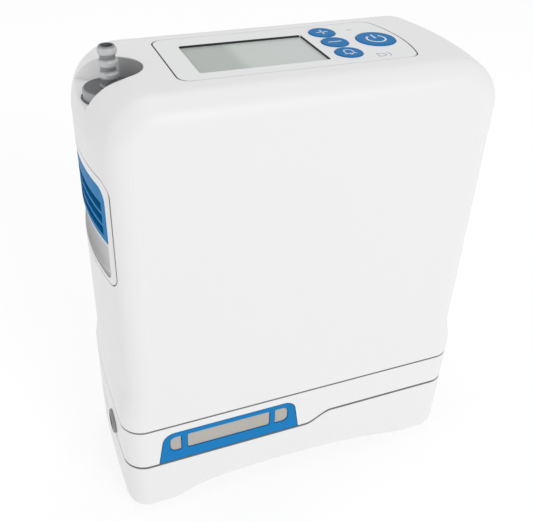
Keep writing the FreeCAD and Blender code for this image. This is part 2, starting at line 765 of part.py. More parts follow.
def battery_outside():
    block = plinth_block(0.0, 40.0)
    block = block.cut(arch_cut())
    edges = []
    for edge in block.Edges:
        size = edge.BoundBox
        flat = size.ZMax < 7.0
        along = size.YLength < 1e-3 and abs(abs(size.YMin) - HALF_LOW) < 1e-3
        corner = size.ZMax < 1e-3 and abs(size.Center.x) > 60
        if flat and (along or corner):
            edges.append(edge)
    rounded = block.makeFillet(FOOT_R, edges)
    return rounded.common(seam_profile(-SEAM_DROP, -1.0))


def battery_tub():
    outside = battery_outside()
    cavity = plinth_block(TUB_FLOOR, 50.0, TUB_WALL)
    foot = [e for e in cavity.Edges if e.BoundBox.ZMax < TUB_FLOOR + 1e-3]
    cavity = cavity.makeFillet(TUB_INNER_R, foot)
    posts = [rod(x, y, TUB_FLOOR - 0.5, lid_top(x) - LID_T - 0.1, TUB_POST_R) for x, y in PACK_SCREWS]
    tub = fuse([outside.cut(cavity)] + [post.common(outside) for post in posts])
    return cut(tub, [rod(x, y, 14.0, 34.0, 1.0) for x, y in PACK_SCREWS])


def battery_lid():
    """Stepped lid with the two T rails that hang the pack under the band."""
    left_top = LOW_SEAM - SEAM_DROP
    plan = plinth_block(20.0, 45.0, TUB_WALL + 0.2)
    lid = seam_profile(-SEAM_DROP, 0.0).cut(seam_profile(-SEAM_DROP - LID_T, -1.0)).common(plan)
    rails = []
    for side in (-1, 1):
        y = side * RAIL_Y
        rails.append(box(RAIL_X[0], RAIL_X[1], y - 1.5, y + 1.5, left_top - 0.5, 31.4))
        rails.append(box(RAIL_X[0], RAIL_X[1], y - 3.4, y + 3.4, 31.2, 33.0))
    lid = fuse([lid] + rails)
    tools = [box(STEP_X[0] + 0.4, 20.0, -13.2, 13.2, 28.6, 40.0)]
    for x, y in PACK_SCREWS:
        tools.append(rod(x, y, 20, 50, 1.2))
        tools.append(rod(x, y, lid_top(x) - 0.9, lid_top(x) + 0.1, 2.2))
    return cut(lid, tools)


def lid_top(x):
    return (STEP_SEAM if x > STEP_X[1] else LOW_SEAM) - SEAM_DROP


def battery_connector():
    """Socket block in the lid's step, with one slot for each blade."""
    x0, x1 = STEP_X[0] + 0.7, 19.8
    block = box(x0, x1, -13.0, 13.0, 28.8, STEP_SEAM - 0.4)
    slots = [box(x0 - 1, 13.0, y - 0.8, y + 0.8, 29.7, 33.3) for y in CONTACT_Y]
    return cut(block, slots).common(seam_profile(-SEAM_DROP - 0.05, 0.0))


def battery_cells():
    parts = []
    for x0 in (-66.0, 1.0):
        for y in (-CELL_Y, CELL_Y):
            cell = rod_x(x0, x0 + CELL_L, y, CELL_Z, CELL_D / 2)
            ends = [e for e in cell.Edges if e.BoundBox.XLength < 1e-4]
            parts.append(cell.makeFillet(0.8, ends))
    return Part.makeCompound(parts)


def cell_holder():
    """Two moulded combs that carry the cells."""
    parts = []
    for x in (-50.0, -18.0, 17.0, 49.0):
        plate = rounded_box_x(x - 2, x + 2, -28, 28, TUB_FLOOR + 0.1, 25.0, 2.0)
        plate = cut(plate, [rod_x(x - 5, x + 5, y, CELL_Z, CELL_D / 2 + 0.1) for y in (-CELL_Y, CELL_Y)])
        parts += plate.Solids
    return Part.makeCompound(parts)


def cell_tabs():
    parts = []
    for x in (-67.2, -0.6, 66.3):
        for y in (-CELL_Y, CELL_Y):
            parts.append(box(x, x + 0.8, y - 4, y + 4, CELL_Z - 4, CELL_Z + 4))
    return Part.makeCompound(parts)


def battery_board():
    board = box(20.0, 46.0, -6.0, 6.0, 9.6, 11.2)
    chips = [box(22 + 6 * i, 26 + 6 * i, -3.0, 3.0, 11.2, 12.6) for i in range(4)]
    return fuse([board] + chips)


def battery_screws():
    parts = []
    for x, y in PACK_SCREWS:
        top = lid_top(x)
        head = rod(x, y, top - 0.85, top - 0.05, 2.0)
        shank = rod(x, y, 16.0, top - 0.85, 0.95)
        parts.append(fuse([head, shank]))
    return Part.makeCompound(parts)


# ================================================================ inside
def chassis():
    plate = box(-68, 66, -28, 28, *CHASSIS_Z)
    tools = [rod(x, y, 50, 60, 5.0) for x, y in CASE_SCREWS]
    tools += [rounded_box(-62, -48, -14, 14, 50, 60, 3), rounded_box(54, 62, -16, 16, 50, 60, 3)]
    plate = cut(plate, tools)
    legs = [rod(x, y, DECK_TOP, CHASSIS_Z[0], 2.5) for x in (-44, 44) for y in (-21, 21)]
    return fuse([plate] + legs)


def power_board():
    low, high = DECK_TOP + 4.0, DECK_TOP + 5.6
    board = box(-36, 40, -18, 18, low, high)
    stand = [rod(x, y, DECK_TOP, low, 2.0) for x in (-32, 36) for y in (-14, 14)]
    chips = [box(-30 + 14 * i, -21 + 14 * i, -8, 2, high, high + 3.4) for i in range(5)]
    coils = [rod(-22 + 16 * i, 10, high, high + 6.4, 5.0) for i in range(3)]
    return fuse([board] + stand + chips + coils)


def column_base():
    half_x, half_y = COLUMN_R + 1.3, COLUMN_Y + COLUMN_R + 0.1
    block = rounded_box(COLUMN_X - half_x, COLUMN_X + half_x, -half_y, half_y,
                        CHASSIS_Z[1] + 0.1, COLUMN_Z[0], 5)
    return cut(block, [rod(COLUMN_X, s * COLUMN_Y, 60.0, 70, COLUMN_R - 0.8) for s in (-1, 1)])


def sieve_columns():
    parts = []
    bore = COLUMN_R - COLUMN_WALL
    for side in (-1, 1):
        y = side * COLUMN_Y
        outside = rod(COLUMN_X, y, COLUMN_Z[0], COLUMN_Z[1], COLUMN_R)
        parts.append(cut(outside, [rod(COLUMN_X, y, COLUMN_Z[0] - 1, COLUMN_Z[1] + 1, bore)]))
    return Part.makeCompound(parts)


def sieve_media():
    parts = []
    bore = COLUMN_R - COLUMN_WALL - 0.05
    for side in (-1, 1):
        parts.append(rod(COLUMN_X, side * COLUMN_Y, COLUMN_Z[0] + 2, COLUMN_Z[1] - 6, bore))
    return Part.makeCompound(parts)


def column_caps():
    parts = []
    for side in (-1, 1):
        y = side * COLUMN_Y
        cap = fuse([rod(COLUMN_X, y, COLUMN_Z[1], COLUMN_Z[1] + 4.5, COLUMN_R),
                    rod(COLUMN_X, y, COLUMN_Z[1] + 4.5, COLUMN_Z[1] + 7, 4.0)])
        parts.append(cap)
    return Part.makeCompound(parts)


def pump_feet():
    """x, y of the compressor's four feet."""
    (x, y), (dx, dy) = PUMP, PUMP_FEET
    return [(x + sx * dx, y + sy * dy) for sx in (-1, 1) for sy in (-1, 1)]


def compressor_body():
    (x, y), (half_x, half_y) = PUMP, PUMP_HALF
    block = rounded_box(x - half_x, x + half_x, y - half_y, y + half_y, *PUMP_Z, 6)
    feet = [rod(*foot, PUMP_Z[0] - 1.0, PUMP_Z[0] + 0.5, 5.0) for foot in pump_feet()]
    body = fuse([block] + feet)
    return cut(body, [rod(x, y, PUMP_Z[0] + 5.0, 100, 13.0)])


def pump_mounts():
    low, high = CHASSIS_Z[1] + 0.1, PUMP_Z[0] - 1.1
    return Part.makeCompound([rod(*foot, low, high, 4.5) for foot in pump_feet()])


def compressor_cylinders():
    x, y = PUMP
    parts = []
    for side in (-1, 1):
        low, high = sorted((x + side * (PUMP_HALF[0] + 0.05), x + side * 33.0))
        barrel = rod_x(low, high, y, CYLINDER_Z, 12.0)
        middles = [x + side * reach for reach in (23, 26, 29, 32)]
        fins = [rod_x(mid - 0.6, mid + 0.6, y, CYLINDER_Z, 14.5) for mid in middles]
        parts.append(fuse([barrel] + fins))
    return Part.makeCompound(parts)


def compressor_heads():
    x, y = PUMP
    parts = []
    for side in (-1, 1):
        low, high = sorted((x + side * 33.05, x + side * 36.5))
        head = rounded_box_x(low, high, y - 13, y + 13, CYLINDER_Z - 13, CYLINDER_Z + 13, 3.0)
        parts.append(head)
    return Part.makeCompound(parts)


def motor_housing():
    x, y = PUMP
    can = rod(x, y, PUMP_Z[1] + 0.1, MOTOR_TOP, MOTOR_R)
    rim = [e for e in can.Edges if e.BoundBox.ZMin > MOTOR_TOP - 1]
    can = can.makeFillet(3.0, rim)
    return cut(can, [rod(x, y, 95, MOTOR_TOP - 2.0, MOTOR_R - 4.0), rod(x, y, 110, 130, 4.0)])


def motor_rotor():
    """Rotor, crank and top cooling impeller on one shaft."""
    x, y = PUMP
    shaft = rod(x, y, 68.0, 131.0, 2.5)
    core = rod(x, y, 99.0, 115.0, 13.5)
    crank = rod(x + 3.0, y, 74.0, 84.0, 7.0)
    weight = rod(x - 4.0, y, 86.0, 92.0, 7.0)
    hub = rod(x, y, 122.0, 130.0, 6.0)
    disc = rod(x, y, 121.5, 122.9, 17.0)
    blades = []
    for i in range(9):
        blade = box(5.0, 16.5, -0.6, 0.6, 122.5, 129.0)
        blade.rotate(V(0, 0, 0), V(0, 0, 1), i * 40.0)
        blade.translate(V(x, y, 0))
        blades.append(blade)
    return fuse([shaft, core, crank, weight, hub, disc] + blades)


def fan_frame():
    body = box(*FAN_X, -FAN_HALF, FAN_HALF, FAN_Z - FAN_HALF, FAN_Z + FAN_HALF)
    body = cut(body, [rod_x(-60, -40, 0, FAN_Z, FAN_BORE)])
    spider, reach = (FAN_X[1] - 2.0, FAN_X[1]), FAN_BORE + 0.4
    hub = rod_x(*spider, 0, FAN_Z, 8.0)
    struts = [box(*spider, -reach, reach, FAN_Z - 1, FAN_Z + 1),
              box(*spider, -1, 1, FAN_Z - reach, FAN_Z + reach)]
    body = fuse([body, hub] + struts)
    signs = [(sy, sz) for sy in (-1, 1) for sz in (-1, 1)]
    return cut(body, [rod_x(-60, -40, sy * FAN_HOLE, FAN_Z + sz * FAN_HOLE, 1.6) for sy, sz in signs])


def fan_rotor():
    hub = rod_x(-56.6, -49.7, 0, FAN_Z, 8.5)
    blades = []
    for i in range(7):
        blade = box(-56.2, -50.6, -0.5, 0.5, 8.0, 17.9)
        blade.rotate(V(-53.4, 0, 0), V(0, 0, 1), 32)
        blade.rotate(V(0, 0, 0), V(1, 0, 0), i * 360.0 / 7)
        blade.translate(V(0, 0, FAN_Z))
        blades.append(blade)
    return fuse([hub] + blades)


def product_tank():
    x0, x1, y, z, r = -3.0, 62.0, -15.0, 151.0, 12.0
    body = rod_x(x0, x1, y, z, r)
    ends = [e for e in body.Edges if e.BoundBox.XLength < 1e-4]
    body = body.makeFillet(5.0, ends)
    return fuse([body, rod_x(x0 - 2.0, x0 + 1, y, z, 3.0)])


def valve_block():
    return rounded_box(-4.0, 40.0, VALVE_Y - 10, VALVE_Y + 10, VALVE_TOP - 11.0, VALVE_TOP, 2.0)


def solenoid_valves():
    parts = []
    for i in range(4):
        x = 2.0 + 10.6 * i
        coil = rod(x, VALVE_Y, VALVE_TOP + 0.05, VALVE_TOP + 12.0, 4.6)
        parts.append(fuse([coil, rod(x, VALVE_Y, VALVE_TOP + 12.0, VALVE_TOP + 14.5, 2.0)]))
    return Part.makeCompound(parts)


def oxygen_sensor():
    body = rounded_box(45.0, 65.0, VALVE_Y - 10, VALVE_Y + 10, 140.0, 156.0, 3.0)
    return fuse([body, rod_x(42.5, 46.0, VALVE_Y, 146.0, 2.0)])


def main_board():
    board = box(-9.0, 64.0, *MAIN_BOARD, 75.0, 134.0)
    return cut(board, [rod_y(x, 20, 40, z, 1.6) for x in (-5, 60) for z in (79, 130)])


def board_components():
    """Chips and capacitors on both faces of the main board, and a buzzer on the deck."""
    parts = []
    near, far = MAIN_BOARD[0] - 0.05, MAIN_BOARD[1] + 0.05
    for i in range(4):
        x = -4.0 + 17 * i
        parts.append(box(x, x + 10, near - 1.75, near, 98.5, 108.5))
        parts.append(rod_y(x + 5, near - 5.95, near, 122.0, 3.6))
    parts.append(box(20, 36, far, far + 1.35, 80, 94))
    parts.append(rod(50.0, -10.0, DECK_TOP, 43.0, 6.0).cut(rod(50.0, -10.0, 41.5, 44.0, 1.2)))
    return Part.makeCompound(parts)


def tube(points, r, bend):
    """Round tube along straight runs with tangent arcs at the corners."""
    edges = []
    last = points[0]
    for i in range(1, len(points) - 1):
        into = (points[i] - points[i - 1]).normalize()
        out = (points[i + 1] - points[i]).normalize()
        start = points[i] - into * bend
        end = points[i] + out * bend
        centre = start + out * bend
        away = (points[i] - centre).normalize()
        middle = centre + away * bend
        edges.append(Part.makeLine(last, start))
        edges.append(Part.Arc(start, middle, end).toShape())
        last = end
    edges.append(Part.makeLine(last, points[-1]))
    spine = Part.Wire(edges)
    first = (points[1] - points[0]).normalize()
    ring = Part.Wire(Part.makeCircle(r, points[0], first))
    return spine.makePipeShell([ring], True, False)


def tubing():
    """Feed line to the valves, and product line over the columns to the nozzle."""
    y, up = -15.0, 167.8
    product = [V(-5.1, y, 151.0), V(-10.0, y, 151.0), V(-10.0, y, up), V(-10.0, NOZZLE[1], up),
               V(NOZZLE[0] + 6.65, NOZZLE[1], up)]
    feed = [V(-12.45, 16.0, 59.0), V(-8.8, 16.0, 59.0), V(-8.8, 16.0, 143.0), V(-4.05, 16.0, 143.0)]
    return Part.makeCompound([tube(product, TUBE_R, 2.4), tube(feed, TUBE_R, 1.8)])


# ================================================================ output
PIECES = {
    "outer_case": outer_case,
    "base_band": base_band,
    "control_label": control_label,
    "display_window": display_window,
    "window_gasket": window_gasket,
    "lcd_panel": lcd_panel,
    "display_board": display_board,
    "tact_switches": tact_switches,
    "status_led": status_led,
    "nozzle_fitting": nozzle_fitting,
    "nozzle_seal": nozzle_seal,
    "nozzle_socket": nozzle_socket,
    "output_filter": output_filter,
    "filter_frame": filter_frame,
    "scoop_cup": scoop_cup,
    "intake_cover": intake_cover,
    "intake_foam": intake_foam,
    "intake_duct": intake_duct,
    "exhaust_grille": exhaust_grille,
    "dc_inlet": dc_inlet,
    "dc_pin": dc_pin,
    "case_screws": case_screws,
    "device_contacts": device_contacts,
    "latch_plate": latch_plate,
    "latch_pads": latch_pads,
    "latch_bracket": latch_bracket,
    "latch_springs": latch_springs,
    "battery_tub": battery_tub,
    "battery_lid": battery_lid,
    "battery_connector": battery_connector,
    "battery_cells": battery_cells,
    "cell_holder": cell_holder,
    "cell_tabs": cell_tabs,
    "battery_board": battery_board,
    "battery_screws": battery_screws,
    "chassis": chassis,
    "power_board": power_board,
    "column_base": column_base,
    "sieve_columns": sieve_columns,
    "sieve_media": sieve_media,
    "column_caps": column_caps,
    "compressor_body": compressor_body,
    "pump_mounts": pump_mounts,
    "compressor_cylinders": compressor_cylinders,
    "compressor_heads": compressor_heads,
    "motor_housing": motor_housing,
    "motor_rotor": motor_rotor,
    "fan_frame": fan_frame,
    "fan_rotor": fan_rotor,
    "product_tank": product_tank,
    "valve_block": valve_block,
    "solenoid_valves": solenoid_valves,
    "oxygen_sensor": oxygen_sensor,
    "main_board": main_board,
    "board_components": board_components,
    "tubing": tubing,
}


def export(name, shape):
    if not shape.isValid():
        raise ValueError("invalid shape: " + name)
    shape.exportStep("parts/%s.step" % name)


def main():
    os.makedirs("parts", exist_ok=True)
    for name, make in PIECES.items():
        export(name, make())
    for name in BUTTONS:
        export(name, button(name))


main()
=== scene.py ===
"""Studio scene for the portable oxygen concentrator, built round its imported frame."""
import bmesh
import bpy
from math import atan2, cos, degrees, pi, radians, sin
from mathutils import Matrix, Vector


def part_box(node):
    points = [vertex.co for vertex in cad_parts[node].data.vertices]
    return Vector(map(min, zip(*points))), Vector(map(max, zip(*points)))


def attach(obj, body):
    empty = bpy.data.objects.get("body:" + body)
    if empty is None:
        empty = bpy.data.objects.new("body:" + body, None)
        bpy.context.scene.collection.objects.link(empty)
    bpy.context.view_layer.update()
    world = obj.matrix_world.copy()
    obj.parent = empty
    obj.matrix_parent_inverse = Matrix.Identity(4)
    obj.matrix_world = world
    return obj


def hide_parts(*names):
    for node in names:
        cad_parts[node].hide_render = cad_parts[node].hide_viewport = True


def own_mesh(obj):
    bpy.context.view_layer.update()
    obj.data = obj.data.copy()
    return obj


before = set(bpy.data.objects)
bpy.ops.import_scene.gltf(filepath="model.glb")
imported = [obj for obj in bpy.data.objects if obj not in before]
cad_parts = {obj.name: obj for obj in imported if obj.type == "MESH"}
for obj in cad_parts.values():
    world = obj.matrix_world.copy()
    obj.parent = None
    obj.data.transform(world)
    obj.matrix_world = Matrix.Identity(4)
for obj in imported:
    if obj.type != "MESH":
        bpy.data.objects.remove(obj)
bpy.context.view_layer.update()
MM = 0.001

# ---------------------------------------------------------------- the frame's places, in millimetres
TOP = 185.0               # flat top of the case
END_X, HALF_Y = 75.0, 34.0
END_R, PLINTH_R = 112.0, 676.0      # plan radii of the bowed ends and of the plinth's ends
FRONT_R, BACK_R = 9.0, 14.0         # corner roundings of the plinth
SEAM_OPEN = (48.85, 49.75)
LOW_SEAM, STEP_SEAM = 28.9, 34.0
STEP_X = (3.0, 15.0)
SEAM_DROP = 0.6
PANEL_HALF, PANEL_Z, PANEL_R = 29.3, (116.8, 158.3), 5.0
SCOOP_FOOT, SCOOP_HALF = 118.8, 25.8
LABEL_ENDS, LABEL_SIDES, LABEL_TIP = (-44.2, 42.2), (-19.4, 21.2), 46.0
LABEL_R = 4.5
POCKET, POCKET_R = (-61.5, -0.6), 10.1
NOZZLE = (-62.5, 0.3)
FLANGE_TOP, FLANGE_R = 178.4, 9.0
NECK_R = 2.5
LENS_DROP = 0.8           # depth of the lens below the label
LENS_X = (-35.8, 10.9)
KEY_PROUD = 0.35
KEYS = {
    "plus_key": (19.6, 12.8),
    "minus_key": (19.6, 1.7),
    "alert_key": (19.6, -9.5),
    "power_key": (35.8, 0.8),
}

# ---------------------------------------------------------------- camera
EYE = Vector((-99.97, -227.06, 270.13)) * MM
AZIMUTH, ELEVATION, ROLL = radians(-22.297), radians(33.734), radians(2.156)
LENS_MM = 48.876
SENSOR_MM = 36.0
SHIFT = (0.0098, -0.0408)


def add_camera():
    back = Vector((sin(AZIMUTH) * cos(ELEVATION), -cos(AZIMUTH) * cos(ELEVATION), sin(ELEVATION)))
    right = Vector((cos(AZIMUTH), sin(AZIMUTH), 0.0))
    up = back.cross(right)
    turned_right = right * cos(ROLL) + up * sin(ROLL)
    turned_up = up * cos(ROLL) - right * sin(ROLL)
    data = bpy.data.cameras.new("camera")
    data.lens = LENS_MM
    data.sensor_width = SENSOR_MM
    data.sensor_fit = "HORIZONTAL"
    data.shift_x, data.shift_y = SHIFT
    data.clip_start = 0.01
    camera = bpy.data.objects.new("camera", data)
    bpy.context.scene.collection.objects.link(camera)
    turn = Matrix((turned_right, turned_up, back)).transposed()
    camera.matrix_world = Matrix.Translation(EYE) @ turn.to_4x4()
    bpy.context.scene.camera = camera


add_camera()


# ---------------------------------------------------------------- materials
class Tree:
    """A material with one Principled shader and short ways to add nodes."""

    def __init__(self, name):
        self.material = bpy.data.materials.new(name)
        self.material.use_nodes = True
        self.nodes = self.material.node_tree.nodes
        self.links = self.material.node_tree.links
        self.shader = self.nodes["Principled BSDF"]
        self.place = self.nodes.new("ShaderNodeTexCoord").outputs["Object"]

    def add(self, kind, **inputs):
        node = self.nodes.new("ShaderNode" + kind)
        for key, value in inputs.items():
            self.feed(node.inputs[key.replace("_", " ")], value)
        return node

    def feed(self, socket, value):
        if isinstance(value, bpy.types.NodeSocket):
            self.links.new(value, socket)
        else:
            socket.default_value = value

    def set(self, **inputs):
        for key, value in inputs.items():
            self.feed(self.shader.inputs[key.replace("_", " ")], value)

    def noise(self, scale, detail=3.0, place=None):
        node = self.add("TexNoise", Vector=place or self.place, Scale=scale, Detail=detail)
        return node.outputs["Fac"]

    def cells(self, scale, randomness=1.0):
        node = self.add("TexVoronoi", Vector=self.place, Scale=scale, Randomness=randomness)
        return node.outputs["Distance"]

    def stretched(self, x, y, z):
        node = self.add("Mapping", Vector=self.place, Scale=(x, y, z))
        return node.outputs["Vector"]

    def spread(self, value, low, high, start=0.3, stop=0.7):
        node = self.add("MapRange", Value=value, From_Min=start, From_Max=stop, To_Min=low, To_Max=high)
        return node.outputs["Result"]

    def blend(self, factor, first, second):
        node = self.nodes.new("ShaderNodeMix")
        node.data_type = "RGBA"
        self.feed(node.inputs[0], factor)
        self.feed(node.inputs[6], (*first, 1.0) if isinstance(first, tuple) else first)
        self.feed(node.inputs[7], (*second, 1.0) if isinstance(second, tuple) else second)
        return node.outputs[2]

    def math(self, operation, first, second):
        node = self.nodes.new("ShaderNodeMath")
        node.operation = operation
        self.feed(node.inputs[0], first)
        self.feed(node.inputs[1], second)
        return node.outputs[0]

    def axis(self, letter):
        return self.add("SeparateXYZ", Vector=self.place).outputs[letter]

    def ramp_mm(self, value, start, stop):
        """0 up to start, 1 from stop, both in millimetres; start may be the larger."""
        return self.spread(value, 0.0, 1.0, start * MM, stop * MM)

    def off_axis(self, x, y):
        """Distance from the upright axis at x, y in millimetres."""
        across = self.math("SUBTRACT", self.axis("X"), x * MM)
        along = self.math("SUBTRACT", self.axis("Y"), y * MM)
        across = self.math("MULTIPLY", across, across)
        along = self.math("MULTIPLY", along, along)
        return self.math("SQRT", self.math("ADD", across, along), 0.0)

    def bump(self, height, depth_mm):
        return self.add("Bump", Height=height, Strength=1.0, Distance=depth_mm * MM).outputs["Normal"]


def shade(colour, factor):
    """The same colour, lighter or darker."""
    return tuple(min(1.0, c * factor) for c in colour)


def moulded(name, colour, rough, grain_mm=0.35, depth_mm=0.006, mottle=0.02, painted_shade=None, **more):
    """Moulded plastic: spark-eroded grain, faint flow marks and uneven gloss.

    The painted-shade function, if given, takes the tree and gives a factor and the darker colour that it
    blends to.
    """
    t = Tree(name)
    skin = t.blend(t.noise(22.0, 2.0), shade(colour, 1 - mottle), shade(colour, 1 + mottle))
    # painted shade in a recess, blended over the skin
    if painted_shade:
        factor, second = painted_shade(t)
        skin = t.blend(factor, skin, second)
    t.set(Base_Color=skin, Roughness=t.spread(t.noise(160.0, 4.0), rough - 0.05, rough + 0.05))
    t.set(Normal=t.bump(t.noise(1.0 / (grain_mm * MM), 2.0), depth_mm), **more)
    return t.material


def pocket_painted_shade(t):
    """Painted shade on the pocket's rounded wall: darker grey than the case, deepest at its right."""
    inside = t.ramp_mm(t.off_axis(*POCKET), POCKET_R + 0.6, POCKET_R + 0.2)
    below = t.ramp_mm(t.axis("Z"), TOP - 0.05, TOP - 0.4)
    deeper = t.ramp_mm(t.axis("X"), POCKET[0] - 16.5, POCKET[0] + 4.5)
    return t.math("MULTIPLY", t.math("MULTIPLY", inside, below), deeper), (0.36, 0.36, 0.365)


def scoop_painted_shade(t):
    """Painted shade: the scoop darkens towards its far edge and its foot."""
    far = t.ramp_mm(t.axis("Y"), SCOOP_HALF - 17.8, SCOOP_HALF - 0.8)
    foot = t.ramp_mm(t.axis("Z"), SCOOP_FOOT + 4.7, SCOOP_FOOT + 0.2)
    return t.math("MAXIMUM", far, t.math("MULTIPLY", foot, 0.8)), (0.16, 0.16, 0.17)


def turned_metal(name):
    """Satin turned metal, with painted shade in the necks and on top of the flange, and painted light on
    the barbs and the flange's rim.
    """
    t = Tree(name)
    radius, height = t.off_axis(*NOZZLE), t.axis("Z")
    # painted light and shade: darker in the necks, lighter on the barbs; painted highlight on the
    # flange's rim
    bright = t.ramp_mm(radius, NECK_R, NECK_R + 0.5)
    barbs = t.blend(bright, (0.20, 0.205, 0.215), (0.54, 0.555, 0.57))
    rim = t.ramp_mm(radius, FLANGE_R - 0.8, FLANGE_R - 0.3)
    flange = t.blend(rim, (0.11, 0.118, 0.125), (0.36, 0.37, 0.38))
    low = t.ramp_mm(height, FLANGE_TOP + 1.0, FLANGE_TOP + 0.3)
    marks = t.noise(3300.0, 3.0, t.stretched(0.15, 0.15, 1.0))
    t.set(Base_Color=t.blend(low, barbs, flange), Metallic=0.35, Roughness=t.spread(marks, 0.36, 0.46))
    t.set(Normal=t.bump(marks, 0.002))
    return t.material


def metal(name, colour, rough, direction=(1.0, 1.0, 1.0), line_mm=0.15, depth_mm=0.004, metallic=1.0):
    """Worked metal, with fine tool marks stretched along one direction."""
    t = Tree(name)
    marks = t.noise(1.0 / (line_mm * MM), 3.0, t.stretched(*direction))
    t.set(Base_Color=t.blend(t.noise(90.0), shade(colour, 0.93), shade(colour, 1.05)), Metallic=metallic)
    t.set(Roughness=t.spread(marks, rough - 0.08, rough + 0.08), Normal=t.bump(marks, depth_mm))
    return t.material


def rubber(name, colour, rough=0.62):
    """Matt rubber with a faintly uneven skin."""
    t = Tree(name)
    t.set(Base_Color=t.blend(t.noise(120.0), shade(colour, 0.8), shade(colour, 1.25)))
    t.set(Roughness=t.spread(t.noise(500.0), rough - 0.08, rough + 0.08), Specular_IOR_Level=0.35)
    t.set(Normal=t.bump(t.noise(2600.0), 0.01))
    return t.material


def foam(name, colour):
    """Open-cell filter foam: small pores darkened with painted shade, between thin struts."""
    t = Tree(name)
    pores = t.cells(950.0)
    # painted shade: darker deeper into each pore
    depth = t.spread(pores, 0.0, 1.0, 0.15, 0.6)
    t.set(Base_Color=t.blend(depth, shade(colour, 1.3), shade(colour, 0.35)), Roughness=0.95)
    t.set(Normal=t.bump(pores, -0.35), Specular_IOR_Level=0.15)
    return t.material


def felt(name, colour):
    """Filter felt: fibres lying mostly one way, with a soft sheen."""
    t = Tree(name)
    fibres = t.noise(1500.0, 6.0, t.stretched(1.0, 0.3, 0.6))
    t.set(Base_Color=t.blend(fibres, shade(colour, 0.85), shade(colour, 1.1)), Roughness=0.95)
    t.set(Normal=t.bump(fibres, 0.12), Sheen_Weight=0.3, Sheen_Roughness=0.5)
    return t.material


def board(name, mask, copper):
    """Circuit board: solder mask over a grid of traces and small bright pads."""
    t = Tree(name)
    traces = t.add("TexBrick", Vector=t.place, Scale=260.0, Mortar_Size=0.05, Bias=0.0)
    pads = t.spread(t.cells(330.0, 0.35), 1.0, 0.0, 0.1, 0.16)
    lines = t.blend(traces.outputs["Fac"], mask, shade(mask, 1.8))
    t.set(Base_Color=t.blend(pads, lines, copper), Roughness=t.spread(pads, 0.34, 0.25, 0.0, 1.0))
    t.set(Normal=t.bump(traces.outputs["Fac"], 0.03), Coat_Weight=0.3, Coat_Roughness=0.2)
    return t.material


def beads(name, colour):
    """Round zeolite beads, packed at random, darker between the beads with painted shade."""
    t = Tree(name)
    grains = t.cells(1250.0, 0.8)
    # painted shade: darker in the gaps between beads
    depth = t.spread(grains, 0.0, 1.0, 0.2, 0.65)
    t.set(Base_Color=t.blend(depth, colour, shade(colour, 0.45)), Roughness=0.85)
    t.set(Normal=t.bump(grains, -0.5))
    return t.material


def display(name, **more):
    """Reflective display glass: grey-green, a darker field at the left, a fine dot grid."""
    t = Tree(name)
    along = t.axis("X")
    field = t.ramp_mm(along, LENS_X[0] + 15.3, LENS_X[0] + 19.3)
    drift = t.ramp_mm(along, *LENS_X)
    lit = t.blend(drift, (0.53, 0.575, 0.54), (0.57, 0.60, 0.59))
    t.set(Base_Color=t.blend(field, (0.43, 0.465, 0.44), lit))
    dots = t.cells(2800.0, 0.0)
    t.set(Roughness=t.spread(dots, 0.34, 0.46), Normal=t.bump(dots, 0.003), **more)
    return t.material


WHITE = (0.80, 0.80, 0.80)
STEEL = (0.56, 0.57, 0.58)
SOFT_SHEEN = {"Specular_IOR_Level": 0.08}

